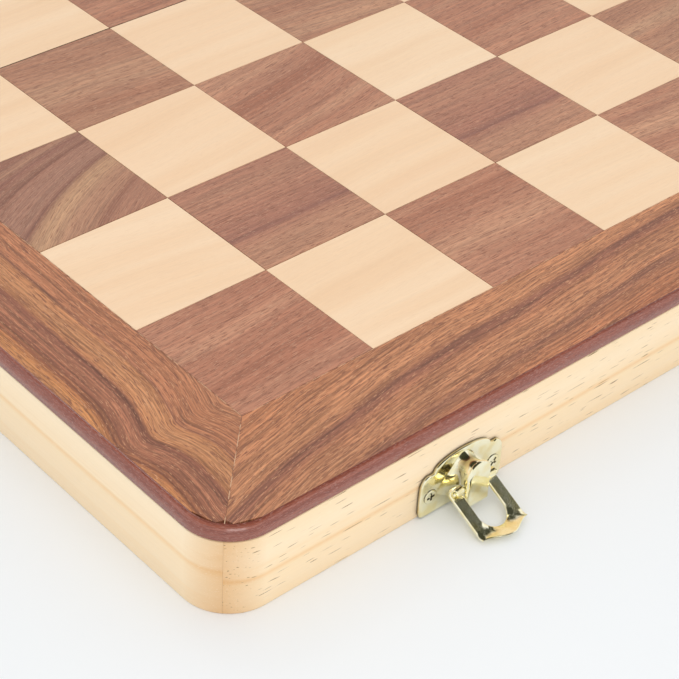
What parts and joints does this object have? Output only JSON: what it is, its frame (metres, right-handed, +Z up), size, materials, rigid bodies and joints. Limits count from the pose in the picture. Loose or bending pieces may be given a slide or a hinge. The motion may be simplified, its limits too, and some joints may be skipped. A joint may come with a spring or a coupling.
{
  "type": "chess set with folding board",
  "caption": "Folding walnut and maple chess board on pine frames, open and flat, with brass clasps and the chessmen stored in foam beneath.",
  "frame": {"origin": "middle of the open board's footprint, clasps included, on the plane of the two rims that it stands on", "axes": "+Z up out of the playing field, X along the fold, -Y towards the edge with the clasps"},
  "size_m": [0.381, 0.4061, 0.0268],
  "materials": {
    "veneer": "satin walnut and maple veneer",
    "stained_edge": "red-brown stained, satin lacquer",
    "pine": "clear lacquered pine",
    "foam": "felt-faced foam",
    "pale_men": "lacquered maple",
    "dark_men": "lacquered walnut",
    "brass": "polished brass plate"
  },
  "bodies": {
    "near_half": {"near_veneer": "veneer", "near_panel": "stained_edge", "near_outer_rail": "pine", "near_left_rail": "pine", "near_right_rail": "pine", "near_centre_rail": "pine", "near_foam_insert": "foam", "white_rook_1": "pale_men", "white_knight_1": "pale_men", "white_bishop_1": "pale_men", "white_queen": "pale_men", "white_king": "pale_men", "white_bishop_2": "pale_men", "white_knight_2": "pale_men", "white_rook_2": "pale_men", "white_pawn_1": "pale_men", "white_pawn_2": "pale_men", "white_pawn_3": "pale_men", "white_pawn_4": "pale_men", "white_pawn_5": "pale_men", "white_pawn_6": "pale_men", "white_pawn_7": "pale_men", "white_pawn_8": "pale_men", "left_clasp_plate": "brass", "left_clasp_pin": "brass", "left_hinge_near_leaf": "brass", "left_hinge_pin": "brass", "right_clasp_plate": "brass", "right_clasp_pin": "brass", "right_hinge_near_leaf": "brass", "right_hinge_pin": "brass"},
    "far_half": {"far_veneer": "veneer", "far_panel": "stained_edge", "far_outer_rail": "pine", "far_left_rail": "pine", "far_right_rail": "pine", "far_centre_rail": "pine", "far_foam_insert": "foam", "black_rook_1": "dark_men", "black_knight_1": "dark_men", "black_bishop_1": "dark_men", "black_queen": "dark_men", "black_king": "dark_men", "black_bishop_2": "dark_men", "black_knight_2": "dark_men", "black_rook_2": "dark_men", "black_pawn_1": "dark_men", "black_pawn_2": "dark_men", "black_pawn_3": "dark_men", "black_pawn_4": "dark_men", "black_pawn_5": "dark_men", "black_pawn_6": "dark_men", "black_pawn_7": "dark_men", "black_pawn_8": "dark_men", "left_catch_plate": "brass", "left_hinge_far_leaf": "brass", "right_catch_plate": "brass", "right_hinge_far_leaf": "brass"},
    "left_loop": {"left_clasp_loop": "brass"},
    "right_loop": {"right_clasp_loop": "brass"}
  },
  "joints": [
    {"name": "board_fold", "type": "hinge", "parent": "near_half", "child": "far_half", "pos_m": [0, 0.00656, -0.00015], "axis": [-1, 0, 0], "range_deg": [0, 180]},
    {"name": "left_loop_swing", "type": "hinge", "parent": "near_half", "child": "left_loop", "pos_m": [-0.1192, -0.18924, 0.0076], "axis": [1, 0, 0], "range_deg": [-116, 62]},
    {"name": "right_loop_swing", "type": "hinge", "parent": "near_half", "child": "right_loop", "pos_m": [0.1192, -0.18924, 0.0076], "axis": [1, 0, 0], "range_deg": [-116, 62]}
  ]
}
